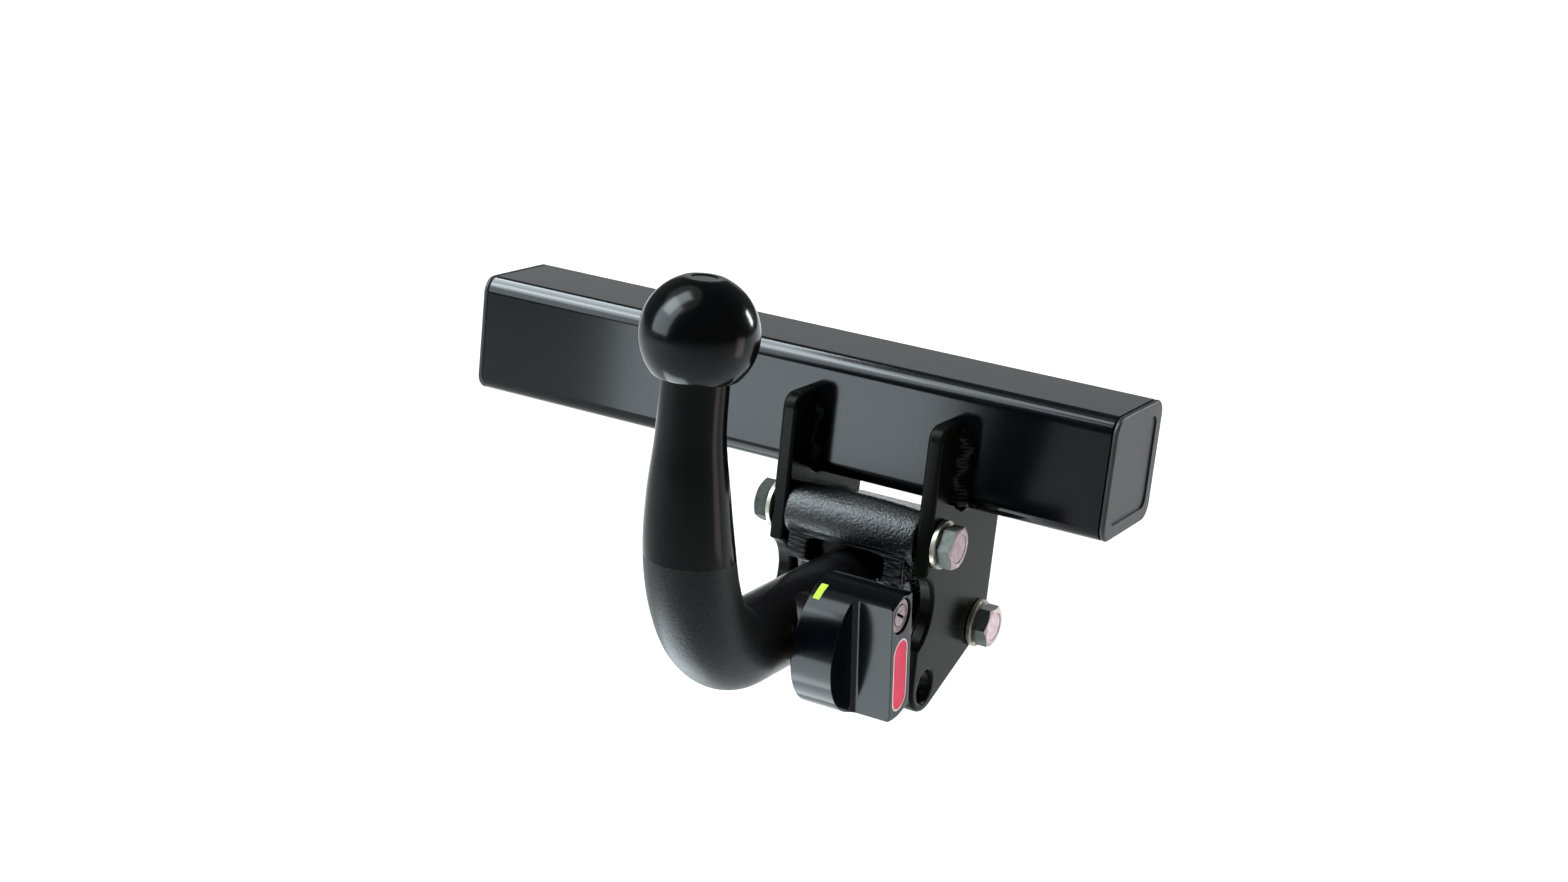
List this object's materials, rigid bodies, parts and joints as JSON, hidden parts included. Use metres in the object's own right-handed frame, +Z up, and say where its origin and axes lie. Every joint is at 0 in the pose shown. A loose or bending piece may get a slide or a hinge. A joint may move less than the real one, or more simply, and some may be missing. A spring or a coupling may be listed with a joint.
{
  "type": "detachable swan-neck tow ball",
  "caption": "Swan-neck tow ball on a bore-mounted shank with a lockable handwheel, held in a cast receiver between two side plates under a square crossbeam.",
  "frame": {"origin": "point of the crossbeam's rear face that lies in the neck's middle plane, at the beam's mid height", "axes": "+X along the crossbeam, to the handwheel's side; +Y towards the vehicle; +Z up"},
  "size_m": [0.352, 0.2698, 0.2311],
  "materials": {
    "beam_paint": "satin-gloss black powder coat",
    "plate_paint": "satin black",
    "neck_paint": "black coat, glossy on the ball",
    "cast_paint": "black over a cast surface",
    "zinc": "zinc plated",
    "hardened_steel": "ground",
    "bronze": "machined",
    "wheel_plastic": "satin-gloss black",
    "plain_plastic": "matt black",
    "rubber": "matt",
    "green_mark": "yellow-green",
    "red_label": "red",
    "lock_metal": "nickel plated"
  },
  "bodies": {
    "receiver": {"crossbeam": "beam_paint", "end_cap_left": "plain_plastic", "end_cap_right": "plain_plastic", "side_plate_left": "plate_paint", "side_plate_right": "plate_paint", "weld_left_outer": "beam_paint", "weld_left_inner": "beam_paint", "weld_left_under": "beam_paint", "weld_right_outer": "beam_paint", "weld_right_inner": "beam_paint", "weld_right_under": "beam_paint", "receiver_housing": "cast_paint", "locking_sleeve": "hardened_steel", "rear_cap": "plain_plastic", "bolt_upper_left": "zinc", "bolt_upper_right": "zinc", "bolt_lower_left": "zinc", "bolt_lower_right": "zinc", "washer_upper_left": "zinc", "washer_upper_right": "zinc", "washer_lower_left": "zinc", "washer_lower_right": "zinc"},
    "neck": {"ball_neck": "neck_paint", "flanged_bush": "bronze", "bush_screw_a": "zinc", "bush_screw_b": "zinc", "tail_plug": "hardened_steel", "shank_seal": "rubber"},
    "spindle": {"wheel_spindle": "hardened_steel", "spindle_nut": "zinc", "spring_washer_plate": "zinc"},
    "push_rod": {"push_rod": "hardened_steel"},
    "ball_top": {"locking_ball_top": "hardened_steel"},
    "ball_right": {"locking_ball_right": "hardened_steel"},
    "ball_left": {"locking_ball_left": "hardened_steel"},
    "handwheel": {"wheel_shell": "wheel_plastic", "wheel_core": "plain_plastic", "stop_pin_upper": "hardened_steel", "stop_pin_lower": "hardened_steel", "core_screw_front": "zinc", "core_screw_rear": "zinc", "green_mark": "green_mark", "label_plate": "red_label", "lock_barrel": "lock_metal", "wheel_spring": "zinc"},
    "key_plug": {"lock_plug": "lock_metal", "lock_cam": "zinc"}
  },
  "joints": [
    {"name": "neck_withdraw", "type": "slide", "parent": "receiver", "child": "neck", "axis": [0, -1, 0], "range_m": [0, 0.1]},
    {"name": "wheel_turn", "type": "hinge", "parent": "neck", "child": "spindle", "pos_m": [0, -0.1461, -0.0755], "axis": [1, 0, 0], "range_deg": [0, 75]},
    {"name": "rod_travel", "type": "slide", "parent": "neck", "child": "push_rod", "axis": [0, -1, 0], "range_m": [0, 0.008]},
    {"name": "ball_top_travel", "type": "slide", "parent": "neck", "child": "ball_top", "axis": [0, 0, 1], "range_m": [0, 0.00235]},
    {"name": "ball_right_travel", "type": "slide", "parent": "neck", "child": "ball_right", "axis": [0.866, 0, -0.5], "range_m": [0, 0.00235]},
    {"name": "ball_left_travel", "type": "slide", "parent": "neck", "child": "ball_left", "axis": [-0.866, 0, -0.5], "range_m": [0, 0.00235]},
    {"name": "wheel_pull", "type": "slide", "parent": "spindle", "child": "handwheel", "axis": [1, 0, 0], "range_m": [0, 0.005], "stiffness_N_per_m": 1500, "springref_m": -0.004, "deforming": ["wheel_spring"]},
    {"name": "lock_turn", "type": "hinge", "parent": "handwheel", "child": "key_plug", "pos_m": [0, -0.14996, -0.05486], "axis": [1, 0, 0], "range_deg": [0, 90]}
  ],
  "couplings": [
    {"joint": "rod_travel", "follows": "wheel_turn", "m_per_rad": 0.006},
    {"joint": "ball_top_travel", "follows": "wheel_turn", "m_per_rad": 0.0017571},
    {"joint": "ball_right_travel", "follows": "wheel_turn", "m_per_rad": 0.0017571},
    {"joint": "ball_left_travel", "follows": "wheel_turn", "m_per_rad": 0.0017571}
  ]
}
